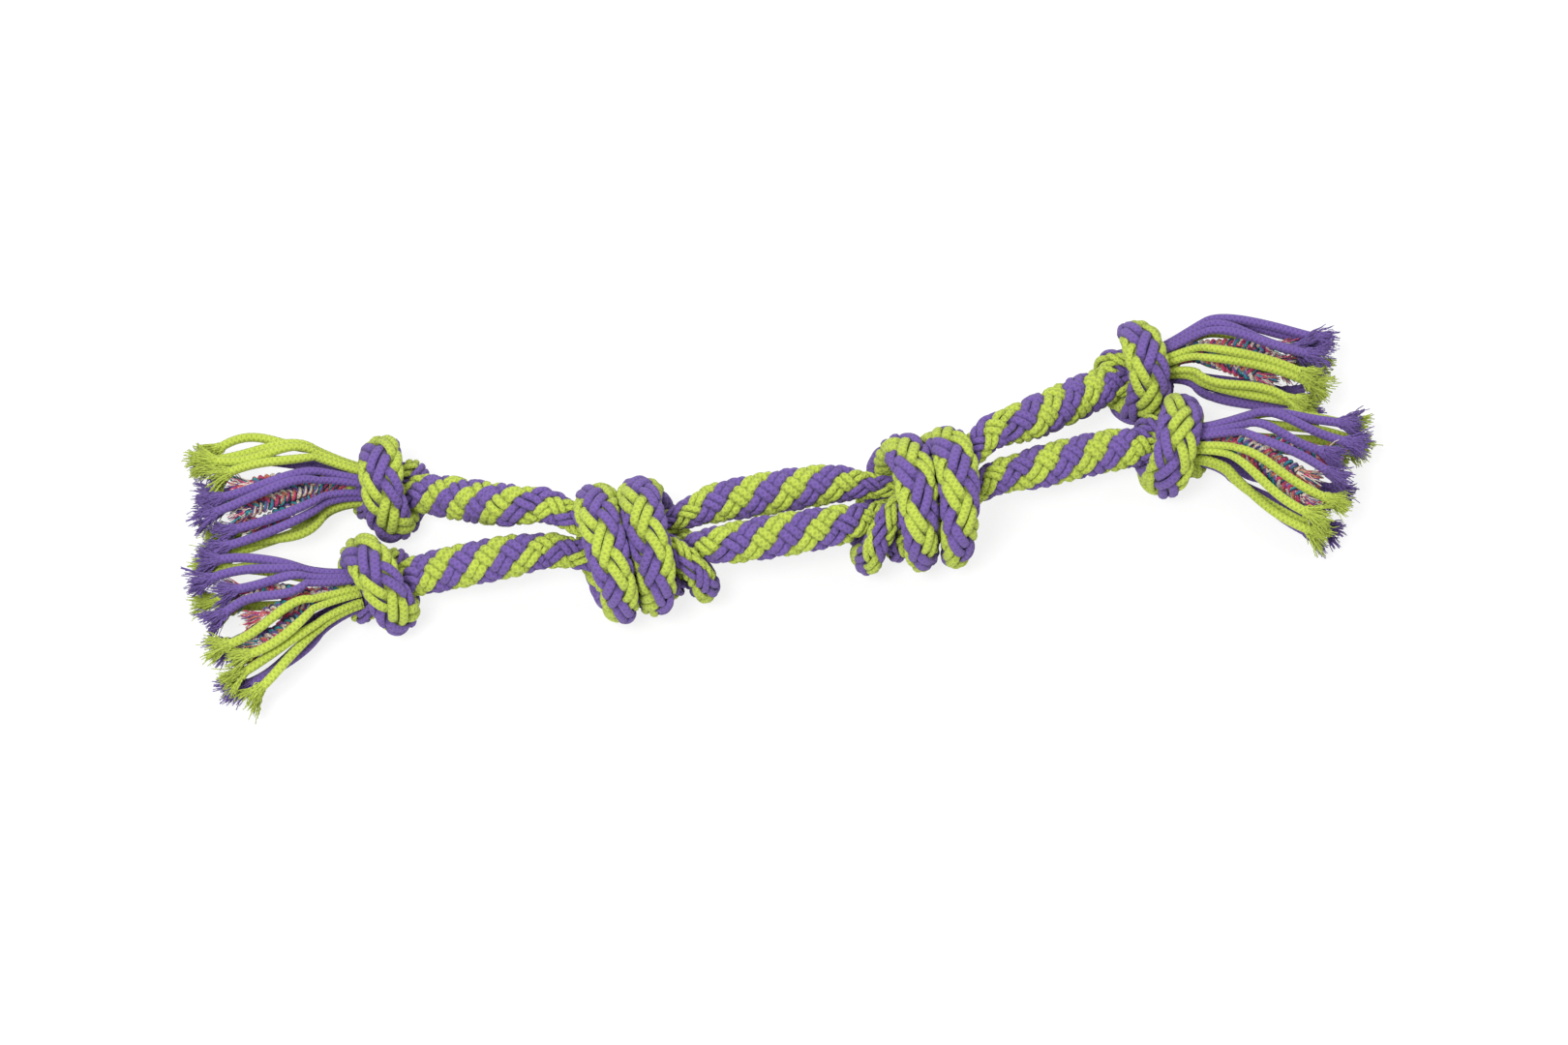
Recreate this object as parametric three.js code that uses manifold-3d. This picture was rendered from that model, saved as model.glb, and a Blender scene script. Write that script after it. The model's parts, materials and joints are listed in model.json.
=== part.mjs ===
// Rope dog toy: two braided ropes tied together by two overhand knots, with an end knot and a tassel
// at each of the four rope ends. Millimetres, +Z up, lying on the plane z = 0, long axis along X.
import * as THREE from 'three';
import { mergeVertices } from 'three/addons/utils/BufferGeometryUtils.js';
import Module from 'manifold-3d';

const wasm = await Module();
wasm.setup();

// Rope and cord sizes
const ROPE_DIAMETER = 18.7;
const CORE_DIAMETER = 7.4;
const CORD_DIAMETER = 4.1;
const CORD_ROOT_DIAMETER = 3;
const CORE_CORD_DIAMETER = 5;
const GAP = 0.3;

// Knots: the rope is squeezed in the core of a knot and flattened where it wraps round the outside
const CENTRE_KNOT = knotShape({
  ropes: 2, core: 8.7, coreWidth: 8.7, wrap: 11.4, wrapWidth: 16.2, mouth: 11.5, turn: 280.9, fan: 40.3,
  phase: 62, coreRatio: 0.86, slack: 6.15, lean: 0.63, skew: 0.3, tail: 18, tailStraight: 0.04,
});
const END_KNOT = knotShape({
  ropes: 1, core: 8.6, coreWidth: 9.2, wrap: 10.6, wrapWidth: 16.6, mouth: 11, turn: 274, fan: 0, phase: 115,
  coreRatio: 0.58, slack: 1, lean: 0.51, skew: 0, tail: 6.2, tailStraight: 0.1,
});
const SKEW_TILT = 30;
const REST_CUT = 0.1;

// Places on the floor plane
const CENTRE_SPACING = 118;
const CENTRE_FORWARD = 5.5;
const ARM_LENGTH = 32;
const BACK_ARM_BACKWARD = 22;
const BACK_ARM_RISE = 13;
const FRONT_ARM_BACKWARD = 6.8;
const FRONT_ARM_RISE = 0.7;
const MIDDLE_GAP = 1.5;
const MIDDLE_BACKWARD = 3;
const MIDDLE_RISE = 6;

// Tassels
const TASSEL_LENGTH = 48;
const ROOT_RADIUS = 8.5;
const ROOT_OPENING = 62;
const STRAND_COUNT = 8;
const PAIR_ANGLE = 16;
const LEAVE_ANGLE = 36;
const TASSEL_MIDDLE = 16.5;
const TASSEL_RISE = 13;
const CORE_CORD_COUNT = 3;
const CORE_OPENING = 20;
const CORE_FULLNESS = 0.56;

// Each rope end: angles in degrees, outwards positive at the back; lengths in millimetres.
// armMore, reach and coreReach are added to the arm's and the tassel's common length. reach and fullness
// go round the tassel, cord by cord, two cords to a strand. The core cords lie in the gaps between the
// strands, and coreAfter counts the strands before the first of those gaps.
const ENDS = [
  {
    name: 'left_back', side: -1, armYaw: 42.5, armMore: 0.2, knotYaw: 20, tasselYaw: 0,
    spread: 25, firstColour: 'lime', roll: 20,
    reach: [2, 7, 5, 0, 4, 8, 1, 5, 7, 2, 6, -1, 3, 7, 1, 5],
    fullness: [1, 0.8, 1, 0.9, 0.75, 1, 0.85, 1, 0.9, 1, 0.8, 1, 0.95, 0.8, 1, 0.9],
    coreAfter: 1, coreReach: [-9, -6, -12],
  },
  {
    name: 'left_front', side: -1, armYaw: 5, armMore: 0.3, knotYaw: -4, tasselYaw: -7,
    spread: 32, firstColour: 'purple', roll: 35,
    reach: [-1, 4, -4, 3, 5, -2, 2, -3, 0, 4, -3, 3, -2, 4, 1, -1],
    fullness: [1, 0.85, 0.95, 0.75, 1, 0.9, 0.8, 1, 0.9, 1, 0.8, 0.95, 1, 0.85, 1, 0.8],
    coreAfter: 0, coreReach: [-10, -13, -8],
  },
  {
    name: 'right_back', side: 1, armYaw: 34.5, armMore: 5.4, knotYaw: 14, tasselYaw: -22,
    spread: 18, firstColour: 'purple', roll: 30,
    reach: [5, 9, 2, 8, 6, 10, 3, 7, 9, 4, 8, 1, 6, 10, 3, 7],
    fullness: [0.9, 1, 0.8, 1, 0.95, 0.8, 1, 0.9, 1, 0.8, 0.95, 1, 0.85, 1, 0.8, 1],
    coreAfter: 0, coreReach: [-8, -5, -11],
  },
  {
    name: 'right_front', side: 1, armYaw: 12.5, armMore: 4.9, knotYaw: -7, tasselYaw: -33,
    spread: 29, firstColour: 'purple', roll: 45,
    reach: [-3, 2, -5, 0, 3, -2, 1, -3, 0, 4, -2, 2, -4, 1, 3, -1],
    fullness: [1, 0.85, 1, 0.9, 0.8, 1, 0.95, 0.8, 1, 0.9, 0.75, 1, 0.9, 1, 0.8, 0.95],
    coreAfter: 0, coreReach: [-8, -11, -6],
  },
];

// Facets
const ROPE_SIDES = 12;
const KNOT_SIDES = 8;
const KNOT_STEPS = 32;
const TAIL_STEPS = 9;
const CORD_SIDES = 8;
const CORD_STEPS = 5;

const LOOKS = {
  rope: { color: 0x8a9a6a, roughness: 0.9, metalness: 0 },
  core: { color: 0x5c6a78, roughness: 0.9, metalness: 0 },
  purple: { color: 0x6f55b5, roughness: 0.9, metalness: 0 },
  lime: { color: 0xa6cc3a, roughness: 0.9, metalness: 0 },
};

const toRadians = THREE.MathUtils.degToRad;
const smooth = (t) => THREE.MathUtils.smoothstep(t, 0, 1);
const mix = THREE.MathUtils.lerp;

// The dimensions of one kind of overhand knot, worked out from the squeezed rope in it
function knotShape(k) {
  const coreRadius = k.coreRatio * k.core;
  const lane = k.ropes > 1 ? k.wrapWidth / 2 + 0.9 : 0;
  const halfWidth = k.lean * (k.core + k.wrap);
  return {
    ...k,
    coreRadius,
    lane,
    halfWidth,
    wrapRadius: coreRadius + (k.core + k.wrap) / 2 + k.slack,
    mouthDistance: halfWidth + lane + k.tail,
  };
}

// Height of a knot's axis above the floor, with each rope's lowest turn cut flat by a tenth of its thickness
function knotHeight(k) {
  const lanes = k.ropes > 1 ? [-1, 1] : [0];
  const depths = lanes.map((lane) => {
    const rings = tubeRings(knotStations(k, lane, 1, [0, 0], [0, 0]), KNOT_SIDES);
    return -Math.min(...rings.flat().map((p) => p.z));
  });
  return Math.min(...depths) - REST_CUT * k.wrap;
}

// Stations along one rope of an overhand knot about the x axis. The rope comes in from +x through the
// core, wraps once round the outside and leaves through the core to -x. lane is -1, 0 or 1 for the first,
// only or second rope, and mouths hold the y and z where the rope comes in and goes out. phase is the side
// that the wrap faces, and skew leans its top to one side.
function knotStations(k, lane, hand, mouthIn, mouthOut) {
  const wrapped = [];
  for (let i = 0; i <= KNOT_STEPS; i += 1) {
    const theta = mix(-Math.PI, Math.PI, i / KNOT_STEPS);
    const outer = Math.cos(theta / 2) ** 2;
    const radius = mix(k.coreRadius, k.wrapRadius, outer ** 0.6);
    const phi = toRadians(k.phase + k.turn * Math.sin(theta / 2) + lane * k.fan * (1 - outer));
    const turned = k.halfWidth * Math.sin(theta) + lane * k.lane * Math.cos(theta / 2);
    wrapped.push({
      point: new THREE.Vector3(
        turned + k.skew * radius * Math.cos(phi - toRadians(SKEW_TILT)),
        hand * radius * Math.cos(phi),
        radius * Math.sin(phi)),
      normal: new THREE.Vector3(
        Math.sin(theta), hand * Math.cos(theta) * Math.cos(phi), Math.cos(theta) * Math.sin(phi)),
      thick: mix(k.core, k.wrap, outer),
      wide: mix(k.coreWidth, k.wrapWidth, outer),
    });
  }
  const tail = (start, direction, mouth) => {
    const stations = [];
    for (let i = 1; i <= TAIL_STEPS; i += 1) {
      const s = i / TAIL_STEPS;
      const go = smooth((s - k.tailStraight) / (1 - k.tailStraight));
      const open = smooth((s - 0.6) / 0.4);
      stations.push({
        point: new THREE.Vector3(
          mix(start.point.x, direction * k.mouthDistance, s),
          mix(start.point.y, mouth[0], go),
          mix(start.point.z, mouth[1], go)),
        normal: start.normal,
        thick: mix(k.core, k.mouth, open),
        wide: mix(k.coreWidth, k.mouth, open),
        heading: i === TAIL_STEPS ? new THREE.Vector3(-1, 0, 0) : undefined,
      });
    }
    return stations;
  };
  const inTail = tail(wrapped[0], 1, mouthIn);
  const outTail = tail(wrapped[KNOT_STEPS], -1, mouthOut);
  return [...inTail.reverse(), ...wrapped, ...outTail];
}

// Rings of an elliptical tube along the stations; the section is square to the path
function tubeRings(stations, sides) {
  return stations.map((station, i) => {
    const before = stations[Math.max(0, i - 1)].point;
    const after = stations[Math.min(stations.length - 1, i + 1)].point;
    const tangent = station.heading ?? after.clone().sub(before).normalize();
    const normal = station.normal.clone().addScaledVector(tangent, -station.normal.dot(tangent)).normalize();
    const across = tangent.clone().cross(normal);
    const ring = [];
    for (let j = 0; j < sides; j += 1) {
      const angle = (2 * Math.PI * (j + 0.5)) / sides;
      ring.push(station.point.clone()
        .addScaledVector(normal, (station.thick / 2) * Math.cos(angle))
        .addScaledVector(across, (station.wide / 2) * Math.sin(angle)));
    }
    return ring;
  });
}

// A closed solid from rings of equal count, with flat ends
function solidFromRings(rings) {
  const sides = rings[0].length;
  const vertProperties = new Float32Array(rings.flat().flatMap((v) => [v.x, v.y, v.z]));
  const triangles = [];
  for (let i = 0; i + 1 < rings.length; i += 1) {
    for (let j = 0; j < sides; j += 1) {
      const a = i * sides + j;
      const b = i * sides + ((j + 1) % sides);
      triangles.push(a, b, b + sides, a, b + sides, a + sides);
    }
  }
  const last = (rings.length - 1) * sides;
  for (let j = 1; j + 1 < sides; j += 1) {
    triangles.push(0, j + 1, j, last, last + j, last + j + 1);
  }
  const triVerts = new Uint32Array(triangles);
  return new wasm.Manifold(new wasm.Mesh({ numProp: 3, vertProperties, triVerts }));
}

function solidFromGeometry(geometry) {
  geometry.deleteAttribute('normal');
  geometry.deleteAttribute('uv');
  const merged = mergeVertices(geometry, 1e-4);
  return new wasm.Manifold(new wasm.Mesh({
    numProp: 3,
    vertProperties: new Float32Array(merged.attributes.position.array),
    triVerts: new Uint32Array(merged.index.array),
  }));
}

function meshFromSolid(name, solid, look) {
  const { vertProperties, triVerts } = solid.getMesh();
  const geometry = new THREE.BufferGeometry();
  geometry.setAttribute('position', new THREE.BufferAttribute(new Float32Array(vertProperties), 3));
  geometry.setIndex(new THREE.BufferAttribute(new Uint32Array(triVerts), 1));
  geometry.computeVertexNormals();
  const mesh = new THREE.Mesh(geometry, new THREE.MeshStandardMaterial(LOOKS[look]));
  mesh.name = name;
  return mesh;
}

// Everything below the floor, in the coordinates of a knot whose axis is at the given height
function floorSlab(height) {
  const reach = 4 * ROPE_DIAMETER;
  const slab = new THREE.BoxGeometry(2 * reach, 2 * reach, reach);
  slab.translate(0, 0, -height - reach / 2);
  return solidFromGeometry(slab);
}

// Least gap of a tube to itself, between ring points that lie further apart along the tube than its girth
function leastGap(stations, rings) {
  let least = Infinity;
  for (let i = 0; i < rings.length; i += 1) {
    let along = 0;
    for (let m = i + 1; m < rings.length; m += 1) {
      along += stations[m].point.distanceTo(stations[m - 1].point);
      if (along > 1.6 * Math.max(stations[i].wide, stations[m].wide)) {
        for (const p of rings[i]) {
          for (const q of rings[m]) {
            least = Math.min(least, p.distanceTo(q));
          }
        }
      }
    }
  }
  return least;
}

function knotMesh(name, k, lane, hand, mouthIn, mouthOut) {
  const stations = knotStations(k, lane, hand, mouthIn, mouthOut);
  const rings = tubeRings(stations, KNOT_SIDES);
  console.log(`${name}: least gap to itself ${leastGap(stations, rings).toFixed(2)} mm`);
  const solid = solidFromRings(rings).subtract(floorSlab(knotHeight(k)));
  return { mesh: meshFromSolid(name, solid, 'rope'), stations };
}

// A straight stretch of rope from one point to another: a hollow cover with rounded ends that turn about
// those points, and the core inside it. A flat end stops square at its point instead.
function stretchMeshes(name, from, to, flatStart) {
  const radius = ROPE_DIAMETER / 2;
  const bore = CORE_DIAMETER / 2 + GAP;
  const core = CORE_DIAMETER / 2;
  const length = from.distanceTo(to);
  const roundEnd = (inner, outer) => {
    const points = [];
    const low = Math.asin(inner / radius);
    const high = Math.asin(outer / radius);
    for (let i = 0; i <= 3; i += 1) {
      const angle = mix(low, high, i / 3);
      points.push(new THREE.Vector2(radius * Math.sin(angle), radius * Math.cos(angle)));
    }
    return points;
  };
  const profile = (inner, outer) => {
    const start = flatStart
      ? [new THREE.Vector2(inner, 0), new THREE.Vector2(outer, 0)]
      : roundEnd(inner, outer).map((p) => new THREE.Vector2(p.x, -p.y));
    const end = roundEnd(inner, outer).reverse().map((p) => new THREE.Vector2(p.x, length + p.y));
    return [...start, ...end];
  };
  const coverProfile = profile(bore, radius);
  const cover = new THREE.LatheGeometry([...coverProfile, coverProfile[0].clone()], ROPE_SIDES);
  const rod = new THREE.LatheGeometry(profile(0, core), ROPE_SIDES);
  const group = new THREE.Group();
  group.position.copy(from);
  group.quaternion.setFromUnitVectors(
    new THREE.Vector3(0, 1, 0), to.clone().sub(from).normalize());
  group.add(meshFromSolid(`${name}_cover`, solidFromGeometry(cover), 'rope'));
  group.add(meshFromSolid(`${name}_core`, solidFromGeometry(rod), 'core'));
  return group;
}

// A cord's stations along a cubic curve from its root to its tip, thin at the root
function cordStations(root, leave, arrive, tip, rootSize, size) {
  const third = root.distanceTo(tip) / 3;
  const curve = new THREE.CubicBezierCurve3(
    root,
    root.clone().addScaledVector(leave, third),
    tip.clone().addScaledVector(arrive, -third),
    tip);
  const stations = [];
  for (let i = 0; i <= CORD_STEPS; i += 1) {
    const t = i / CORD_STEPS;
    const girth = mix(rootSize, size, smooth(t / 0.4));
    stations.push({
      point: curve.getPoint(t),
      normal: new THREE.Vector3(0, -0.2, 1),
      thick: girth,
      wide: girth,
    });
  }
  return stations;
}

// A direction in the tassel's frame: opening is measured from +x, around from the toy's back upwards
function fanDirection(opening, around, side) {
  const o = toRadians(opening);
  const a = toRadians(around);
  return new THREE.Vector3(Math.cos(o), side * Math.sin(o) * Math.cos(a), Math.sin(o) * Math.sin(a));
}

// One cord of a tassel in the tassel's frame, +x forwards, +z up, origin at the root
function tasselCord(end, around, opening, reach, fullness, height, sizes) {
  const a = toRadians(around);
  const tip = new THREE.Vector3(
    reach,
    end.side * end.spread * fullness * Math.cos(a),
    TASSEL_MIDDLE + TASSEL_RISE * fullness * Math.sin(a) - height);
  const root = fanDirection(opening, around, end.side).multiplyScalar(sizes.rootDistance);
  const leave = fanDirection(opening * LEAVE_ANGLE / ROOT_OPENING, around, end.side);
  const arrive = new THREE.Vector3(1, 0.15 * end.side * Math.cos(a), -0.2 - 0.1 * Math.sin(a)).normalize();
  const stations = cordStations(root, leave, arrive, tip, sizes.root, sizes.full);
  return solidFromRings(tubeRings(stations, CORD_SIDES));
}

// Eight strands of two cords each round the root, and the core cords with the root itself
function tasselMeshes(end, height) {
  const meshes = [];
  const colours = end.firstColour === 'lime' ? ['lime', 'purple'] : ['purple', 'lime'];
  const counts = { lime: 0, purple: 0 };
  const cord = {
    root: CORD_ROOT_DIAMETER, full: CORD_DIAMETER, rootDistance: ROOT_RADIUS + GAP + CORD_ROOT_DIAMETER / 4,
  };
  for (let s = 0; s < STRAND_COUNT; s += 1) {
    const colour = colours[Math.floor(s / 2) % 2];
    const around = end.roll + (360 / STRAND_COUNT) * s;
    const pair = [-1, 1].map((half, c) => tasselCord(
      end,
      around + half * (PAIR_ANGLE / 2),
      ROOT_OPENING,
      TASSEL_LENGTH + end.reach[2 * s + c],
      end.fullness[2 * s + c],
      height,
      cord));
    counts[colour] += 1;
    const name = `${end.name}_${colour}_strand_${counts[colour]}`;
    meshes.push(meshFromSolid(name, pair[0].add(pair[1]), colour));
  }
  const ball = new THREE.SphereGeometry(ROOT_RADIUS, 10, 7);
  let core = solidFromGeometry(ball);
  const inner = { root: CORD_DIAMETER, full: CORE_CORD_DIAMETER, rootDistance: ROOT_RADIUS / 2 };
  for (let c = 0; c < CORE_CORD_COUNT; c += 1) {
    const around = end.roll + (360 / STRAND_COUNT) * (end.coreAfter + c + 0.5);
    const reach = TASSEL_LENGTH + end.coreReach[c];
    core = core.add(tasselCord(end, around, CORE_OPENING, reach, CORE_FULLNESS, height, inner));
  }
  meshes.push(meshFromSolid(`${end.name}_core_cords`, core, 'core'));
  return meshes;
}

const toy = new THREE.Group();
const ropeRadius = ROPE_DIAMETER / 2;
const seat = ropeRadius + GAP;

// The two centre knots, mirror images of each other, with both ropes in each
const middleHalf = (ROPE_DIAMETER + MIDDLE_GAP) / 2;
const armMouths = {
  back: [BACK_ARM_BACKWARD, BACK_ARM_RISE],
  front: [FRONT_ARM_BACKWARD, FRONT_ARM_RISE],
};
const armSeats = {};
const middleEnds = {};
for (const side of [-1, 1]) {
  const label = side < 0 ? 'left' : 'right';
  const group = new THREE.Group();
  group.position.set((side * CENTRE_SPACING) / 2, -CENTRE_FORWARD, knotHeight(CENTRE_KNOT));
  group.rotation.z = side < 0 ? Math.PI : 0;
  for (const lane of [-1, 1]) {
    const place = lane < 0 ? 'back' : 'front';
    const mouthIn = [side * armMouths[place][0], armMouths[place][1]];
    const mouthOut = [side * (lane * middleHalf + MIDDLE_BACKWARD), MIDDLE_RISE];
    const name = `${label}_centre_knot_${place}_rope`;
    const { mesh, stations } = knotMesh(name, CENTRE_KNOT, lane, side, mouthIn, mouthOut);
    group.add(mesh);
    group.updateMatrixWorld(true);
    const armSeat = stations[0].point.clone().addScaledVector(stations[0].heading, -seat);
    const middle = stations.at(-1).point.clone();
    armSeats[`${label}_${place}`] = group.localToWorld(armSeat);
    middleEnds[`${label}_${lane < 0 ? 'front' : 'back'}`] = group.localToWorld(middle);
  }
  toy.add(group);
}

// The two middle stretches, square against the left knot and rounded at the right one
for (const place of ['back', 'front']) {
  const from = middleEnds[`left_${place}`].clone();
  const to = middleEnds[`right_${place}`].clone();
  from.x += GAP;
  to.x -= seat;
  toy.add(stretchMeshes(`middle_${place}_rope`, from, to, true));
}

// The four ends: arm, end knot and tassel
for (const end of ENDS) {
  const heading = (yaw) => new THREE.Vector3(
    end.side * Math.cos(toRadians(yaw)), Math.sin(toRadians(yaw)), 0);
  const height = knotHeight(END_KNOT);
  const from = armSeats[end.name];
  const to = from.clone().addScaledVector(heading(end.armYaw), ARM_LENGTH + end.armMore).setZ(height);
  toy.add(stretchMeshes(`${end.name}_arm`, from, to, false));

  const out = heading(end.knotYaw);
  const knotGroup = new THREE.Group();
  knotGroup.position.copy(to).addScaledVector(out, seat + END_KNOT.mouthDistance);
  knotGroup.rotation.z = Math.atan2(-out.y, -out.x);
  knotGroup.add(knotMesh(`${end.name}_end_knot`, END_KNOT, 0, -end.side, [0, 0], [0, 0]).mesh);
  toy.add(knotGroup);

  const tasselGroup = new THREE.Group();
  tasselGroup.name = `${end.name}_tassel`;
  tasselGroup.position.copy(knotGroup.position)
    .addScaledVector(out, END_KNOT.mouthDistance + GAP + ROOT_RADIUS);
  const ahead = heading(end.tasselYaw);
  tasselGroup.rotation.z = Math.atan2(ahead.y, ahead.x);
  tasselGroup.add(...tasselMeshes(end, height));
  toy.add(tasselGroup);
}

// The origin lies on the floor in the middle of the toy's footprint
const footprint = new THREE.Box3().setFromObject(toy, true).getCenter(new THREE.Vector3());
toy.position.set(-footprint.x, -footprint.y, 0);

export default toy;
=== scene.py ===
"""Rope dog toy: two braided cotton ropes, knotted together twice, with a knot and a tassel at each end.

Lengths in the functions are millimetres in the toy's own frame, and become metres as a mesh is made.
"""
import json
import math

import bpy
import numpy as np
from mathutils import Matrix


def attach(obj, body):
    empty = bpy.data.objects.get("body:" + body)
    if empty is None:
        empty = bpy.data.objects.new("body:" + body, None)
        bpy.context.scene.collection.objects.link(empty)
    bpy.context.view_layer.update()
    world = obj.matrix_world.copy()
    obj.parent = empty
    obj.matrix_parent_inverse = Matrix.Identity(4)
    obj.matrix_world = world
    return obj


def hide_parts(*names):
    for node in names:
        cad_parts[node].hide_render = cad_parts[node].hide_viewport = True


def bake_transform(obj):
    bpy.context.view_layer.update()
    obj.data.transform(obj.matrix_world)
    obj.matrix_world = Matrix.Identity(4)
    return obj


bl_info = {
    "name": "Rope dog toy",
    "version": (1, 0, 0),
    "blender": (4, 5, 0),
    "location": "3D View > Sidebar > Rope toy",
    "description": "Braided ropes, overhand knots and frayed tassels of a dog's tug toy",
    "category": "Add Mesh",
}

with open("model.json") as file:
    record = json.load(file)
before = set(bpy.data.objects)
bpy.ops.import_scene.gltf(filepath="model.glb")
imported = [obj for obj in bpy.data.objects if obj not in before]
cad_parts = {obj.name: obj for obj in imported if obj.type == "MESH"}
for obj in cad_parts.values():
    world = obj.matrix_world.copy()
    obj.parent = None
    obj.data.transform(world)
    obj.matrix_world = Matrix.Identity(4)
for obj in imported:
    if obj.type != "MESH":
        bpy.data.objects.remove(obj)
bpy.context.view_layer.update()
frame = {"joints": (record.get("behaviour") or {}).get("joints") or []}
TO_MM = 1000
TO_METRES = 0.001
PLACES = {joint["name"]: TO_MM * np.array(joint["pos_m"]) for joint in frame["joints"]}

# Sizes and places of the solids
GAP = 0.3
ROPE_RADIUS = 18.7 / 2
ROOT_RADIUS = 8.5
ROOT_OPENING = 62
LEAVE_ANGLE = 36
PAIR_ANGLE = 16
CORD_ROOT = 3.0
CORE_OPENING = 20
CORE_FULLNESS = 0.56
STRAND_COUNT = 8
STRAND_STEP = 360 / STRAND_COUNT
TASSEL_LENGTH = 48
TASSEL_MIDDLE = 16.5
TASSEL_RISE = 13
ARRIVE_SIDEWAYS = 0.15
ARRIVE_DOWN = 0.2
ARRIVE_SPREAD = 0.1
CENTRE_SPACING = 118
ARM_MOUTHS = {"back": (22, 13), "front": (6.8, 0.7)}
MIDDLE_GAP = 1.5
MIDDLE_HALF = ROPE_RADIUS + MIDDLE_GAP / 2
MIDDLE_BACKWARD = 3
MIDDLE_RISE = 6
LANE_CLEARANCE = 0.9
SKEW_TILT = 30
WRAP_POWER = 0.6


def knot_shape(ropes, core_ratio, slack, lean, tail, **knot):
    """The sizes of one kind of overhand knot, worked out from the squeezed rope in it.

    The core radius is the core's thickness times its ratio. The wrap lies half the core's and half the wrap's
    thickness and the slack further out. The half width is the lean times both thicknesses. Where two ropes
    share a knot, their lanes are half the wrap's width and the clearance off the middle.
    """
    both = knot["core"] + knot["wrap"]
    core_radius = core_ratio * knot["core"]
    half_width = lean * both
    lane = knot["wrap_wide"] / 2 + LANE_CLEARANCE if ropes > 1 else 0
    return dict(
        knot, core_radius=core_radius, wrap_radius=core_radius + both / 2 + slack, half_width=half_width,
        lane=lane, mouth_distance=half_width + lane + tail)


CENTRE_KNOT = knot_shape(
    ropes=2, core=8.7, core_wide=8.7, wrap=11.4, wrap_wide=16.2, turn=280.9, fan=40.3, phase=62,
    core_ratio=0.86, slack=6.15, lean=0.63, skew=0.3, tail=18, straight=0.04)
END_KNOT = knot_shape(
    ropes=1, core=8.6, core_wide=9.2, wrap=10.6, wrap_wide=16.6, turn=274, fan=0, phase=115,
    core_ratio=0.58, slack=1, lean=0.51, skew=0, tail=6.2, straight=0.1)

# The parts of a rope from left to right, and the points along a knot, its tails and a plain stretch
LEFT_END, LEFT_ARM, LEFT_CENTRE, MIDDLE, RIGHT_CENTRE, RIGHT_ARM, RIGHT_END = range(7)
KNOT_STEPS = 361
TAIL_STEPS = 81
STRETCH_STEPS = 121

# Half widths of the braid at the knots' mouths, the share of a tail after which its width changes to that of
# the mouth, and the distance from a mouth after which the rope has its full width
CENTRE_TO_ARM_HALF = 7.9
CENTRE_TO_MIDDLE_HALF = 8.9
END_TO_ARM_HALF = 8.8
END_TO_TASSEL_HALF = 7.6
SWELL_START = 0.35
SWELL_LENGTH = 14

# The braid: handles of the curves between knots, spacing of rings, how its cords cross, how it stretches and
# broadens round a knot, where and over what span a dipping cord gets painted shade, and the height at which
# the floor begins to press
ARM_HANDLE = 13
MIDDLE_HANDLE = 10
RING_SPACING = 0.8
STRANDS_EACH_WAY = 4
CORD_OFFSET = 20
BRAID_STEEP = 1.7
KNOT_STRETCH = 0.75
FLATTENED = 0.45
BROADEN_POWER = 0.45
PAINTED_SHADE_FROM = 0.8
PAINTED_SHADE_SPAN = 1.3
FLOOR_SOFTNESS = 1.5

# The tassels: a cord's way out of its knot, how much wider the roots stand than the solids', the first handle
# of a cord's curve as a share of the solid's, its upper side, its sway sideways and up, its girth, the ring
# where it leaves the knot, and a count of the longest cords, for which a length and a pressed line are
# worked out but not used
LEAD_LENGTH = 16
LEAD_SHARE = 0.55
LEAD_HANDLES = (6, 5)
LEAD_STEPS = 14
ROOT_FULL = 1.7
FIRST_HANDLE = 0.65
CORD_STEPS = 48
CORD_UP = (0, -0.2, 1)
SWAY_SHARES = (1, 0.5)
ROOT_GIRTH = 0.8
GIRTH_FROM = 0.15
GIRTH_SPAN = 0.4
DECLARED_CORDS = 10

# The plaits: strands, yarns of a strand, lengths of one wave and one turn, shares of the plait's width, and
# the steps through the shades from yarn to yarn and from plait to plait
PLAIT_STRANDS = 3
PLAIT_YARNS = 5
PLAIT_WAVE = 7.5
YARN_TURN = 11
PLAIT_SIDEWAYS = 0.31
PLAIT_HEIGHT = 0.12
YARN_OFFSET = 0.1
YARN_RADIUS = 0.066
PLAIT_STEPS = 140
PLAIT_UP = (0, -0.3, 1)
YARN_SHADES = 8
YARN_SHADE_STEP = 5
PLAIT_SHADE_STEP = 3

# The brushes: fibres of a tip, their radius and clumps, ranges of their length and flare, and how they stray
FIBRES = {"purple": 120, "lime": 120, "mixed": 150}
FIBRE_RADIUS = 0.3
FIBRE_RINGS = 6
CLUMPS = 7
CLUMP_TURN = 0.8
FIBRE_TURN = 0.3
CLUMP_LENGTH = (0.82, 1.08)
FIBRE_LENGTH = (0.8, 1.03)
CLUMP_FLARE = (0.15, 0.7)
FIBRE_FLARE = (0.6, 1.2)
FLARE_POWER = 1.3
BRUSH_RADIUS = 1.8
BRUSH_INSET = 1.5
BOW = 0.1
CURL = 0.05
CURL_RATE = 9
DROOP = 0.06
TAPER = 0.4

# Sides of the tubes, and the quads that close a tube's end by its number of sides
CORD_SIDES = 8
YARN_SIDES = 6
FIBRE_SIDES = 4
CAP_QUADS = {
    8: ((0, 1, 2, 7), (2, 3, 6, 7), (3, 4, 5, 6)),
    6: ((0, 1, 2, 5), (2, 3, 4, 5)),
    4: ((0, 1, 2, 3),),
}

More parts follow.
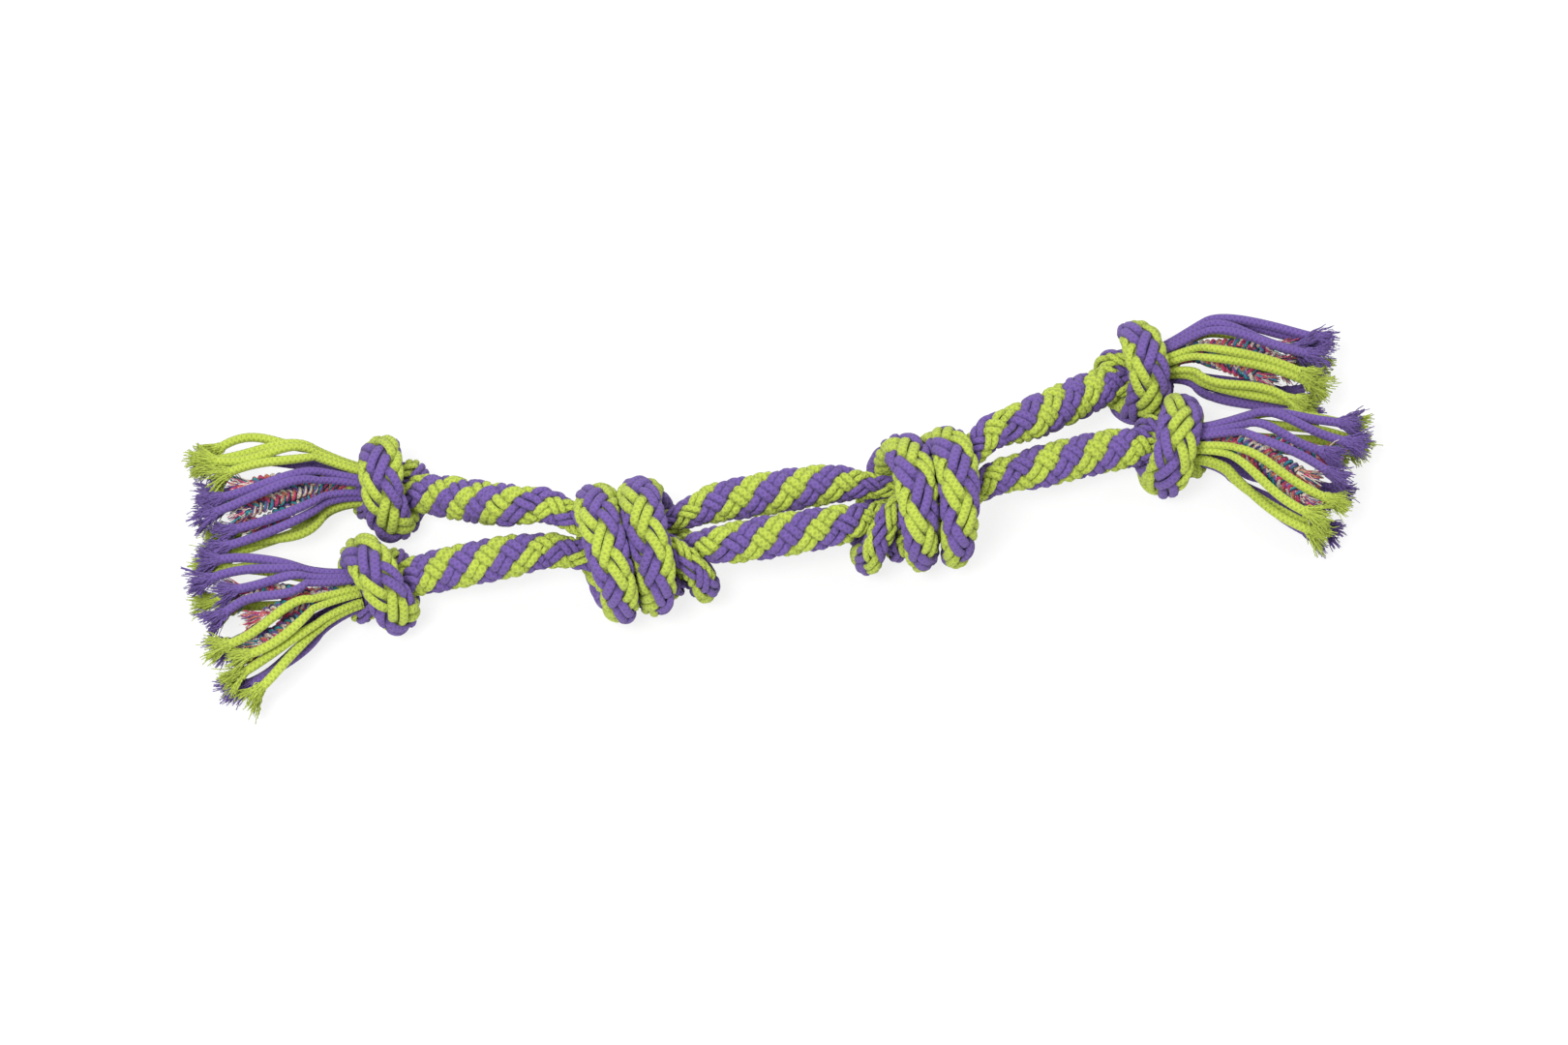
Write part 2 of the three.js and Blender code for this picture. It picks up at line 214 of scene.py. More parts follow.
# Shares in the cotton's colour of the painted shade and painted light of the threads (darker grooves, lighter
# crowns), of dye, of fuzz, and of the painted shade where a cord dips under; heights of thread and fuzz in
# its bump; and the painted light that makes a brush lighter
GROOVE_PAINTED_SHADE = 0.16
DYE_SHADE = 0.3
FUZZ_SHADE = 0.4
BASE_SHADE = 0.55
UNDER_PAINTED_SHADE = 0.55
RIDGE_HEIGHT = 0.5
FUZZ_HEIGHT = 0.9
# Painted light on the brushes
BRUSH_PAINTED_LIGHT = 1.3

# The stage in metres and degrees, with each lamp's name, place, power and width, and the lens in millimetres
FLOOR_HALF = 6
FLOOR_CLEAR = 0.82
WORLD_LIGHT = 0.26
LAMPS = (
    ("key", (-0.7, -0.7, 1.8), 40, 0.7),
    ("fill", (1.3, -0.3, 1.2), 8, 1.2),
    ("top", (0.1, 0.9, 1.8), 17.5, 1.2))
CAMERA_AZIMUTH = -10.8
CAMERA_ELEVATION = 60
CAMERA_TARGET = (0.002393, -0.006048, 0)
PICTURE_WIDTH = 0.6585
SENSOR = 36
LENS = 100

# The four rope ends, with the angles and lengths of the solids. brush is how far a cord's tip is drawn back
ENDS = {
    "left_back": dict(
        side=-1, knot_yaw=20, tassel_yaw=0, spread=25, colours=("lime", "purple"), roll=20,
        reach=(2, 7, 5, 0, 4, 8, 1, 5, 7, 2, 6, -1, 3, 7, 1, 5),
        fullness=(1, 0.8, 1, 0.9, 0.75, 1, 0.85, 1, 0.9, 1, 0.8, 1, 0.95, 0.8, 1, 0.9),
        core_after=1, core_reach=(-9, -6, -12), brush=7),
    "left_front": dict(
        side=-1, knot_yaw=-4, tassel_yaw=-7, spread=32, colours=("purple", "lime"), roll=35,
        reach=(-1, 4, -4, 3, 5, -2, 2, -3, 0, 4, -3, 3, -2, 4, 1, -1),
        fullness=(1, 0.85, 0.95, 0.75, 1, 0.9, 0.8, 1, 0.9, 1, 0.8, 0.95, 1, 0.85, 1, 0.8),
        core_after=0, core_reach=(-10, -13, -8), brush=11),
    "right_back": dict(
        side=1, knot_yaw=14, tassel_yaw=-22, spread=18, colours=("purple", "lime"), roll=30,
        reach=(5, 9, 2, 8, 6, 10, 3, 7, 9, 4, 8, 1, 6, 10, 3, 7),
        fullness=(0.9, 1, 0.8, 1, 0.95, 0.8, 1, 0.9, 1, 0.8, 0.95, 1, 0.85, 1, 0.8, 1),
        core_after=0, core_reach=(-8, -5, -11), brush=7),
    "right_front": dict(
        side=1, knot_yaw=-7, tassel_yaw=-33, spread=29, colours=("purple", "lime"), roll=45,
        reach=(-3, 2, -5, 0, 3, -2, 1, -3, 0, 4, -2, 2, -4, 1, 3, -1),
        fullness=(1, 0.85, 1, 0.9, 0.8, 1, 0.95, 0.8, 1, 0.9, 0.75, 1, 0.9, 1, 0.8, 0.95),
        core_after=0, core_reach=(-8, -11, -6), brush=5),
}


class RopeToySizes(bpy.types.PropertyGroup):
    """Sizes of the cords and of the braid"""
    cord_width: bpy.props.FloatProperty(
        name="Braid cord width", description="Width of one flattened cord in the braid",
        default=0.0039, unit="LENGTH")
    cord_thickness: bpy.props.FloatProperty(
        name="Braid cord thickness", description="Thickness of one flattened cord in the braid",
        default=0.0034, unit="LENGTH")
    lay: bpy.props.FloatProperty(
        name="Lay", description="Length of rope in which a strand goes once round",
        default=0.044, unit="LENGTH")
    knot_fill: bpy.props.FloatProperty(
        name="Knot fill", description="How far the braid swells out over the squeezed rope of a knot",
        default=1.2)
    tassel_cord: bpy.props.FloatProperty(
        name="Tassel cord", description="Thickness of a loose cord in a tassel",
        default=0.0041, unit="LENGTH")
    fray: bpy.props.FloatProperty(
        name="Fray", description="Length of the frayed brush at a cord's tip",
        default=0.0108, unit="LENGTH")
    wander: bpy.props.FloatProperty(
        name="Wander", description="How far a loose cord sways to either side on its way to its tip",
        default=0.0009, unit="LENGTH")
    plait: bpy.props.FloatProperty(
        name="Plait", description="Width of a plaited cord in a tassel",
        default=0.0078, unit="LENGTH")


class RopeToyColours(bpy.types.PropertyGroup):
    """Colours of the cotton and of the stage"""
    purple: bpy.props.FloatVectorProperty(
        name="Purple cotton", description="Colour of the purple cords",
        subtype="COLOR", default=(0.152, 0.092, 0.328))
    lime: bpy.props.FloatVectorProperty(
        name="Lime cotton", description="Colour of the lime cords",
        subtype="COLOR", default=(0.432, 0.532, 0.069))
    teal: bpy.props.FloatVectorProperty(
        name="Teal yarn", description="First colour of the plaited yarn",
        subtype="COLOR", default=(0.030, 0.270, 0.330))
    rose: bpy.props.FloatVectorProperty(
        name="Rose yarn", description="Second colour of the plaited yarn",
        subtype="COLOR", default=(0.520, 0.055, 0.150))
    cream: bpy.props.FloatVectorProperty(
        name="Cream yarn", description="Third colour of the plaited yarn",
        subtype="COLOR", default=(0.640, 0.570, 0.480))
    navy: bpy.props.FloatVectorProperty(
        name="Navy yarn", description="Fourth colour of the plaited yarn",
        subtype="COLOR", default=(0.030, 0.035, 0.090))
    coral: bpy.props.FloatVectorProperty(
        name="Coral yarn", description="Fifth colour of the plaited yarn",
        subtype="COLOR", default=(0.560, 0.190, 0.110))
    floor: bpy.props.FloatVectorProperty(
        name="Floor", description="Colour of the floor that the toy lies on",
        subtype="COLOR", default=(0.92, 0.92, 0.92))


def smooth(t):
    """Smooth step from 0 to 1."""
    t = np.clip(t, 0, 1)
    return t * t * (3 - 2 * t)


def mix(a, b, t):
    return a + (b - a) * t


def unit(v):
    return v / np.maximum(np.linalg.norm(v, axis=-1, keepdims=True), 1e-12)


def square(n, t):
    """The part of n that is square to the unit direction t, as a unit vector."""
    return unit(n - t * np.sum(n * t, -1, keepdims=True))


def heading(end, yaw):
    """Plan direction out along a rope end; yaw is positive towards the back."""
    a = math.radians(yaw)
    return np.array([end["side"] * math.cos(a), math.sin(a), 0.0])


def turned(points, direction):
    """Points turned about z so that +x becomes the plan direction."""
    c, s = direction[0], direction[1]
    return points @ np.array([[c, s, 0], [-s, c, 0], [0, 0, 1.0]])


def bezier(a, b, c, d, t):
    """Cubic curve with the control points a, b, c and d."""
    t = t[:, None]
    return (1 - t) ** 3 * a + 3 * (1 - t) ** 2 * t * b + 3 * (1 - t) * t ** 2 * c + t ** 3 * d


def sizes():
    return bpy.context.scene.rope_toy_sizes


def colours():
    return bpy.context.scene.rope_toy_colours


def knot_route(knot, lane, hand, mouth_in, mouth_out, half_in, half_out):
    """One rope of an overhand knot about x: points, outward normals and half sizes.

    With theta from -pi to pi and c the squared cosine of its half, x is the half width times sin theta, and
    the distance from the axis goes from the core to the wrap by a power of c. The angle round the axis is the
    phase plus the turn times the sine of half theta, plus the fan where the two ropes of a knot part. skew
    leans the wrap in x by the cosine of that angle. Both ends run out to the mouths by a smooth step.
    """
    fill = sizes().knot_fill
    theta = np.linspace(-np.pi, np.pi, KNOT_STEPS)
    c = np.cos(theta / 2) ** 2
    radius = mix(knot["core_radius"], knot["wrap_radius"], c ** WRAP_POWER)
    phi = np.radians(knot["phase"] + knot["turn"] * np.sin(theta / 2) + lane * knot["fan"] * (1 - c))
    x = knot["half_width"] * np.sin(theta) + lane * knot["lane"] * np.cos(theta / 2)
    x = x + knot["skew"] * radius * np.cos(phi - math.radians(SKEW_TILT))
    points = np.stack([x, hand * radius * np.cos(phi), radius * np.sin(phi)], -1)
    normal = np.stack([np.sin(theta), hand * np.cos(theta) * np.cos(phi), np.cos(theta) * np.sin(phi)], -1)
    thick, wide = mix(knot["core"], knot["wrap"], c), mix(knot["core_wide"], knot["wrap_wide"], c)
    half = 0.5 * fill * np.stack([thick, wide], -1)

    def tail(start, direction, mouth, at_mouth):
        s = np.linspace(0, 1, TAIL_STEPS)[1:, None]
        goal = np.array([direction * knot["mouth_distance"], *mouth])
        go = smooth((s - knot["straight"]) / (1 - knot["straight"]))
        p = mix(points[start], goal, np.concatenate([s, go, go], -1))
        n = np.repeat(normal[start][None], len(s), 0)
        return p, n, mix(half[start], at_mouth, smooth((s - SWELL_START) / (1 - SWELL_START)))

    a = tail(0, 1, mouth_in, half_in)
    b = tail(-1, -1, mouth_out, half_out)
    return [np.concatenate([i[::-1], j, m]) for i, j, m in zip(a, (points, normal, half), b)]


def placed(route, direction, centre):
    """A knot's route with its +x turned to the plan direction and its centre moved to its place."""
    points, normal, half = route
    return [turned(points, direction) + centre, turned(normal, direction), half]


def backwards(route):
    return [part[::-1] for part in route]


def centre_knot(side, lane):
    """Route of one rope of a centre knot, from its arm to the middle."""
    right = PLACES["middle_fold"] + [
        CENTRE_KNOT["mouth_distance"] + ROPE_RADIUS + GAP, -MIDDLE_BACKWARD, -MIDDLE_RISE]
    centre = right - [CENTRE_SPACING * (side < 0), 0, 0]
    arm = ARM_MOUTHS["back" if lane < 0 else "front"]
    middle = (side * (lane * MIDDLE_HALF + MIDDLE_BACKWARD), MIDDLE_RISE)
    route = knot_route(
        CENTRE_KNOT, lane, side, (side * arm[0], arm[1]), middle, CENTRE_TO_ARM_HALF, CENTRE_TO_MIDDLE_HALF)
    return placed(route, np.array([side, 0, 0]), centre)


def end_knot(name):
    """Route of an end knot, from its arm to its tassel."""
    end = ENDS[name]
    out = heading(end, end["knot_yaw"])
    centre = PLACES[name + "_tassel_lift"] - out * (END_KNOT["mouth_distance"] + GAP + ROOT_RADIUS)
    route = knot_route(END_KNOT, 0, -end["side"], (0, 0), (0, 0), END_TO_ARM_HALF, END_TO_TASSEL_HALF)
    return placed(route, -out, centre)


def stretch(before, after, reach):
    """Route between two knots: a cubic curve that leaves and arrives in line with their mouths.

    The half sizes go from those of the mouths to the plain rope's by a smooth step.
    """
    a, b = before[0][-1], after[0][0]
    p = bezier(
        a, a + reach * unit(a - before[0][-3]), b - reach * unit(after[0][2] - b), b,
        np.linspace(0, 1, STRETCH_STEPS))[1:-1]
    far = np.minimum(np.linalg.norm(p - a, axis=1), np.linalg.norm(p - b, axis=1))
    ends = np.where((np.arange(len(p)) < len(p) / 2)[:, None], before[2][-1], after[2][0])
    return [p, np.zeros_like(p), mix(ends, ROPE_RADIUS, smooth(far / SWELL_LENGTH)[:, None])]


def rope(place):
    """One whole rope as evenly spaced rings: points, frames, half sizes, and the braid's turn and stretch.

    The frame of a knot comes with its route. Along a plain stretch the normal is carried straight on, and
    what is left over to the next knot is shared out as an even twist. The braid turns once in each lay, and
    the lay is drawn out where the rope is flattened round the outside of a knot. cuts holds the first ring of
    each part, and the last ring of all.
    """
    lane = -1 if place == "back" else 1
    left_end, right_end = backwards(end_knot("left_" + place)), end_knot("right_" + place)
    left, right = centre_knot(-1, lane), backwards(centre_knot(1, lane))
    routes = [
        left_end, stretch(left_end, left, ARM_HANDLE), left, stretch(left, right, MIDDLE_HANDLE), right,
        stretch(right, right_end, ARM_HANDLE), right_end]
    points, normal, half = (np.concatenate(part) for part in zip(*routes))
    owner = np.repeat(np.arange(len(routes)), [len(route[0]) for route in routes])
    along = np.r_[0, np.cumsum(np.linalg.norm(np.diff(points, axis=0), axis=1))]
    s = np.linspace(0, along[-1], int(along[-1] / RING_SPACING))

    def resample(v):
        return np.stack([np.interp(s, along, v[:, i]) for i in range(v.shape[1])], -1)

    points, normal, half = resample(points), resample(normal), resample(half)
    edges = [np.searchsorted(s, along[owner == i][[0, -1]]) for i in range(len(routes))]
    tangent = unit(np.gradient(points, axis=0))
    for i in (LEFT_ARM, MIDDLE, RIGHT_ARM):
        a, b = edges[i - 1][1] - 1, min(edges[i + 1][0] + 1, len(s) - 1)
        run = slice(a, b + 1)
        carried = square(normal[a] + 0 * tangent[run], tangent[run])
        across = np.cross(tangent[run], carried)
        goal = square(normal[b], tangent[b])
        left_over = math.atan2(goal @ across[-1], goal @ carried[-1])
        twist = left_over * np.linspace(0, 1, b - a + 1)[:, None]
        normal[run] = carried * np.cos(twist) + across * np.sin(twist)
    normal = square(normal, tangent)
    cuts = [0] + [int(edges[i][0]) for i in range(1, len(routes))] + [len(s) - 1]
    stretched = 1 + KNOT_STRETCH * smooth((half[:, 1] / half[:, 0] - 1) / FLATTENED)
    turn = 2 * np.pi * np.cumsum(np.gradient(s) / stretched) / (TO_MM * sizes().lay)
    return dict(
        points=points, normal=normal, across=np.cross(tangent, normal), half=half, turn=turn,
        stretched=stretched, cuts=cuts)


def braid_cords(rings, colour):
    """Centre lines, outward normals, size, broadening and painted shade of the eight cords of one braid
    colour.

    Four strands of two cords turn each way, a quarter turn apart. A strand's angle grows with the braid's
    turn. Its distance from the axis swings between over and under as the tanh of a cosine of four times the
    turn so far, shifted by the cord's own place in its strand, so that both cords dip where the edge of the
    crossing strand lies. The two ways round have opposite signs, so that each passes over and under the other
    by turns. The painted shade goes from 0 on top to 1 below, by a smooth step, and darkens a dipping cord.
    """
    half_thickness = 0.5 * TO_MM * sizes().cord_thickness
    first = 0 if colour == "purple" else 1
    way, strand, half = np.meshgrid([1, -1], [first, first + 2], [-1, 1], indexing="ij")
    way, strand, half = (v.reshape(-1, 1) for v in (way, strand, half))
    turn = rings["turn"]
    offset = math.radians(CORD_OFFSET) * half
    theta = np.radians(360 / STRANDS_EACH_WAY * strand) + offset + way * turn
    swing = np.cos(STRANDS_EACH_WAY * turn + 2 * way * offset)
    over = way * np.tanh(BRAID_STEEP * swing) / math.tanh(BRAID_STEEP)
    distance = ROPE_RADIUS - 2 * half_thickness + half_thickness * over
    u, v = (rings["half"] / ROPE_RADIUS).T
    c, s = np.cos(theta)[..., None], np.sin(theta)[..., None]
    u, v = u[None, :, None], v[None, :, None]
    centre = rings["points"] + distance[..., None] * (c * u * rings["normal"] + s * v * rings["across"])
    outward = unit(c / u * rings["normal"] + s / v * rings["across"])
    # Painted shade: 0 on top, rising to 1 where the cord dips under the crossing strand
    depth = smooth((PAINTED_SHADE_FROM - over) / PAINTED_SHADE_SPAN)
    return centre, outward, np.sqrt(u * v)[0, :, 0], rings["stretched"] ** BROADEN_POWER, depth


def lifted(points):
    """Points pressed on to the floor: low down, the height falls off exponentially and never reaches 0."""
    z = points[..., 2]
    low = FLOOR_SOFTNESS
    flat = low * np.exp(np.minimum(z, low) / low - 1)
    return np.concatenate([points[..., :2], np.where(z < low, flat, z)[..., None]], -1)


def tube_grid(centre, normal, half_n, half_b, sides):
    """Rings of ellipses square to each of several paths, as an array of path, ring, side and coordinate."""
    tangent = unit(np.gradient(centre, axis=1))
    normal = square(normal, tangent)
    across = np.cross(tangent, normal)
    f = 2 * np.pi * np.arange(sides) / sides
    half_n, half_b = (np.broadcast_to(h, centre.shape[:2])[..., None, None] for h in (half_n, half_b))
    return (centre[:, :, None]
            + half_n * np.cos(f)[:, None] * normal[:, :, None]
            + half_b * np.sin(f)[:, None] * across[:, :, None])


def tube_object(name, grid, material, tint=None, depth=None):
    """A mesh of closed tubes from a grid of rings, with u round each tube and v along it in millimetres.

    tint holds one value a tube, and the painted shade one value a ring, by which the cord is darkened.
    """
    paths, rings, sides, _ = grid.shape
    index = np.arange(paths * rings * sides).reshape(paths, rings, sides)
    near, far = index[:, :-1], index[:, 1:]
    quads = np.stack([near, np.roll(near, -1, 2), np.roll(far, -1, 2), far], -1).reshape(-1, 4)
    caps = []
    for four in CAP_QUADS[sides]:
        caps.append(index[:, 0][:, list(four)[::-1]])
        caps.append(index[:, -1][:, list(four)])
    faces = np.concatenate([quads] + caps)
    middle = grid.mean(2)
    run = np.linalg.norm(np.diff(middle, axis=1), axis=2)
    v = np.concatenate([np.zeros((paths, 1)), np.cumsum(run, 1)], 1)
    u = np.arange(sides) / sides
    wrap_u = np.stack([u, u + 1 / sides, u + 1 / sides, u], -1)
    quad_u = np.broadcast_to(wrap_u, (paths, rings - 1, sides, 4)).reshape(-1, 4)
    quad_v = np.broadcast_to(
        np.stack([v[:, :-1], v[:, :-1], v[:, 1:], v[:, 1:]], -1)[:, :, None], (paths, rings - 1, sides, 4)
    ).reshape(-1, 4)
    uv = np.zeros((len(faces), 4, 2))
    uv[:len(quads), :, 0] = quad_u
    uv[:len(quads), :, 1] = quad_v
    mesh = bpy.data.meshes.new(name)
    mesh.vertices.add(index.size)
    mesh.vertices.foreach_set("co", (TO_METRES * grid).astype(np.float32).ravel())
    mesh.loops.add(faces.size)
    mesh.loops.foreach_set("vertex_index", faces.astype(np.int32).ravel())
    mesh.polygons.add(len(faces))
    mesh.polygons.foreach_set("loop_start", np.arange(0, faces.size, 4, dtype=np.int32))
    mesh.polygons.foreach_set("use_smooth", np.ones(len(faces), bool))
    mesh.update(calc_edges=True)
    mesh.uv_layers.new(name="cord").uv.foreach_set("vector", uv.astype(np.float32).ravel())
    if tint is not None:
        layer = mesh.attributes.new("tint", "FLOAT", "POINT")
        layer.data.foreach_set("value", np.repeat(tint, rings * sides).astype(np.float32))
    # The painted shade that darkens a cord where it dips under another
    if depth is not None:
        layer = mesh.attributes.new("depth", "FLOAT", "POINT")
        layer.data.foreach_set("value", np.repeat(depth.ravel(), sides).astype(np.float32))
    mesh.materials.append(material)
    if mesh.validate():
        raise RuntimeError(name + " has faulty faces")
    obj = bpy.data.objects.new(name, mesh)
    bpy.context.scene.collection.objects.link(obj)
    return obj


def node(tree, kind, **sockets):
    """A shader node with its sockets set to values or linked from other nodes' sockets."""
    made = tree.nodes.new(kind)
    for key, value in sockets.items():
        numbered = key[0] == "i" and key[1:].isdigit()
        target = made.inputs[int(key[1:]) if numbered else key.replace("_", " ")]
        if isinstance(value, bpy.types.NodeSocket):
            tree.links.new(value, target)
        else:
            target.default_value = value
    return made


def maths(tree, operation, a, b=0.0):
    made = node(tree, "ShaderNodeMath", i0=a, i1=b)
    made.operation = operation
    return made.outputs[0]


def looking(tree):
    """1 for a ray from the camera, off a mirror or through glass, which shows the background, and else 0."""
    path = node(tree, "ShaderNodeLightPath")
    other = maths(tree, "MAXIMUM", path.outputs["Is Glossy Ray"], path.outputs["Is Transmission Ray"])
    return maths(tree, "MAXIMUM", path.outputs["Is Camera Ray"], other)


def blank_material(name):
    material = bpy.data.materials.new(name)
    material.use_nodes = True
    tree = material.node_tree
    tree.nodes.clear()
    return material, tree


def cotton(name, colour, pitch=2.1, threads=3, tinted=None):
    """Matt braided cotton: two families of fine threads cross on the cord, with fuzz and uneven dye.

    The height is the larger of two sine waves that wind opposite ways round the cord, plus the fuzz. The same
    wave paints shade into the colour of the grooves and light on the crowns. tinted gives the colours of
    separate yarns, picked by the tint that each yarn carries. A cord has painted shade where it dips under
    another.
    """
    material, tree = blank_material(name)
    uv = node(tree, "ShaderNodeUVMap")
    uv.uv_map = "cord"
    axes = node(tree, "ShaderNodeSeparateXYZ", i0=uv.outputs[0])
    round_turn = maths(tree, "MULTIPLY", axes.outputs[0], 2 * math.pi * threads)
    along = maths(tree, "MULTIPLY", axes.outputs[1], 2 * math.pi / pitch)
    one = maths(tree, "SINE", maths(tree, "ADD", along, round_turn))
    two = maths(tree, "SINE", maths(tree, "SUBTRACT", along, round_turn))
    ridge = maths(tree, "MAXIMUM", one, two)
    place = node(tree, "ShaderNodeTexCoord").outputs["Object"]
    fuzz = node(tree, "ShaderNodeTexNoise", Vector=place, Scale=2600.0, Detail=3.0, Roughness=0.65)
    dye = node(tree, "ShaderNodeTexNoise", Vector=place, Scale=55.0, Detail=2.0)
    fluff = maths(tree, "MULTIPLY", fuzz.outputs[0], FUZZ_HEIGHT)
    height = maths(tree, "ADD", maths(tree, "MULTIPLY", ridge, RIDGE_HEIGHT), fluff)
    bump = node(tree, "ShaderNodeBump", Strength=0.75, Distance=0.0005, Height=height)
    patches = maths(tree, "MULTIPLY", dye.outputs[0], DYE_SHADE)
    # Painted shade in the thread grooves and painted light on the crowns, by the same wave as the bump
    shade = maths(tree, "ADD", maths(tree, "MULTIPLY", ridge, GROOVE_PAINTED_SHADE), patches)
    shade = maths(tree, "ADD", shade, maths(tree, "MULTIPLY", fuzz.outputs[0], FUZZ_SHADE))
    if tinted is None:
        base = node(tree, "ShaderNodeRGB")
        base.outputs[0].default_value = (*colour, 1)
    else:
        attribute = node(tree, "ShaderNodeAttribute")
        attribute.attribute_name = "tint"
        base = node(tree, "ShaderNodeValToRGB", Fac=attribute.outputs["Fac"])
        ramp = base.color_ramp
        ramp.interpolation = "CONSTANT"
        ramp.elements.remove(ramp.elements[1])
        ramp.elements[0].color = (*tinted[0], 1)
        for i, shade_of in enumerate(tinted[1:], 1):
            ramp.elements.new(i / len(tinted)).color = (*shade_of, 1)
    factor = maths(tree, "ADD", shade, BASE_SHADE)
    # Painted shade: the colour is darkened where a cord dips under another
    painted_shade_node = node(tree, "ShaderNodeAttribute")
    painted_shade_node.attribute_name = "depth"
    unshaded_share = maths(tree, "SUBTRACT", 1.0, maths(tree, "MULTIPLY", painted_shade_node.outputs["Fac"], UNDER_PAINTED_SHADE))
    factor = maths(tree, "MULTIPLY", factor, unshaded_share)
    lit = node(tree, "ShaderNodeVectorMath", i0=base.outputs[0], i1=factor)
    lit.operation = "MULTIPLY"
    shader = node(
        tree, "ShaderNodeBsdfPrincipled", Base_Color=lit.outputs[0], Roughness=0.92, Normal=bump.outputs[0])
    shader.inputs["Sheen Weight"].default_value = 0.1
    shader.inputs["Sheen Roughness"].default_value = 0.5
    shader.inputs["Specular IOR Level"].default_value = 0.25
    node(tree, "ShaderNodeOutputMaterial", Surface=shader.outputs[0])
    return material


def finish_of(name):
    """The finish of that name, made the first time that a piece needs it."""
    made = bpy.data.materials.get(name)
    if made is None:
        c = colours()
        dye, kind = name.split("_")
        # Painted light: a brush is a lighter copy of its cotton, standing in for light among its fibres
        painted_light = BRUSH_PAINTED_LIGHT if kind == "brush" else 1
        if dye == "mixed":
            palette = [c.teal, c.rose, c.cream, c.navy, c.coral, c.purple, c.rose, c.cream]
            shades = [tuple(painted_light * v for v in shade) for shade in palette]
            made = cotton(name, None, pitch=1.3, threads=1, tinted=shades)
        else:
            made = cotton(name, tuple(painted_light * v for v in getattr(c, dye)))
    return made


ROPES = {}


def rope_of(place):
    if place not in ROPES:
        ROPES[place] = rope(place)
    return ROPES[place]


def braid_objects(name, place, part):
    """The purple and the lime cords of one of the seven parts of a rope."""
    rings = rope_of(place)
    run = slice(rings["cuts"][part], rings["cuts"][part + 1] + 1)
    made = []
    for colour in ("purple", "lime"):
        centre, outward, size, broad, depth = braid_cords(rings, colour)
        thick = 0.5 * TO_MM * sizes().cord_thickness * size[run]
        wide = 0.5 * TO_MM * sizes().cord_width * size[run] * broad[run]
        grid = lifted(tube_grid(centre[:, run], outward[:, run], thick, wide, CORD_SIDES))
        finish = finish_of(colour + "_cotton")
        made.append(tube_object(f"{name}_{colour}", grid, finish, depth=depth[:, run]))
    return made


def cord_route(name, around, opening, reach, fullness, root_distance, sway, steps=CORD_STEPS):
    """Centre line of one tassel cord: out of the knot, over its root and along the solid's curve to its tip.

    The curve is the solid's cubic with a shorter first handle, and its tip is drawn back for the brush. Half
    a sine wave and a whole one, times the two rows of sway, are added across it, so that the root and the tip
    stay where they are.
    """
    end = ENDS[name]
    side = end["side"]
    origin = PLACES[name + "_tassel_lift"]
    out = turned(heading(end, end["knot_yaw"]), heading(end, end["tassel_yaw"]) * [1, -1, 1])
    a, o = math.radians(around), math.radians(opening)

    def fan(angle):
        out_from_axis = math.sin(angle)
        return np.array([math.cos(angle), side * out_from_axis * math.cos(a), out_from_axis * math.sin(a)])

    root = fan(o) * root_distance * [1, ROOT_FULL, ROOT_FULL]
    tip = np.array([
        TASSEL_LENGTH + reach - end["brush"], side * end["spread"] * fullness * math.cos(a),
        TASSEL_MIDDLE + TASSEL_RISE * fullness * math.sin(a) - origin[2]])
    third = np.linalg.norm(tip - root) / 3
    leave = fan(o * LEAVE_ANGLE / ROOT_OPENING)
    arrive = unit(np.array([
        1, ARRIVE_SIDEWAYS * side * math.cos(a), -ARRIVE_DOWN - ARRIVE_SPREAD * math.sin(a)]))
    inside = LEAD_SHARE * root * [0, 1, 1] - LEAD_LENGTH * out
    from_knot, to_root = inside + LEAD_HANDLES[0] * out, root - LEAD_HANDLES[1] * leave
    lead = bezier(inside, from_knot, to_root, root, np.linspace(0, 1, LEAD_STEPS))[:-1]
    t = np.linspace(0, 1, steps)
    free = bezier(root, root + FIRST_HANDLE * third * leave, tip - third * arrive, tip, t)
    free[:, 1:] += np.sin(np.pi * t)[:, None] * sway[0] + np.sin(2 * np.pi * t)[:, None] * sway[1]
    line = np.concatenate([lead, free])
    return turned(line, heading(end, end["tassel_yaw"])) + origin


def tassel_cords(name):
    """Every coloured cord of a tassel: its colour, number, strand node and centre line."""
    end = ENDS[name]
    rng = np.random.default_rng(sum(map(ord, name)))
    sway = rng.normal(0, TO_MM * sizes().wander, (2 * STRAND_COUNT, 2, 2)) * SWAY_SHARES
    counts = {"lime": 0, "purple": 0}
    for s in range(STRAND_COUNT):
        colour = end["colours"][s // 2 % 2]
        counts[colour] += 1
        around = end["roll"] + STRAND_STEP * s
        for c, half in enumerate((-1, 1)):
            i = 2 * s + c
            line = cord_route(
                name, around + half * PAIR_ANGLE / 2, ROOT_OPENING, end["reach"][i], end["fullness"][i],
                ROOT_RADIUS + GAP + CORD_ROOT / 4, sway[i])
            yield colour, 2 * counts[colour] - 1 + c, f"{name}_{colour}_strand_{counts[colour]}", line


def core_lines(name):
    """Centre lines of a tassel's three plaited cords, which lie in the gaps between its upper strands."""
    end = ENDS[name]
    still = np.zeros((2, 2))
    return np.array([
        cord_route(
            name, end["roll"] + STRAND_STEP * (end["core_after"] + c + 0.5), CORE_OPENING, reach,
            CORE_FULLNESS, ROOT_RADIUS / 2, still, PLAIT_STEPS)
        for c, reach in enumerate(end["core_reach"])])


def length_of(line):
    return float(np.linalg.norm(np.diff(line, axis=0), axis=1).sum())


def bend_at_root(obj):
    """The piece's place is baked into its mesh."""
    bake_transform(obj)


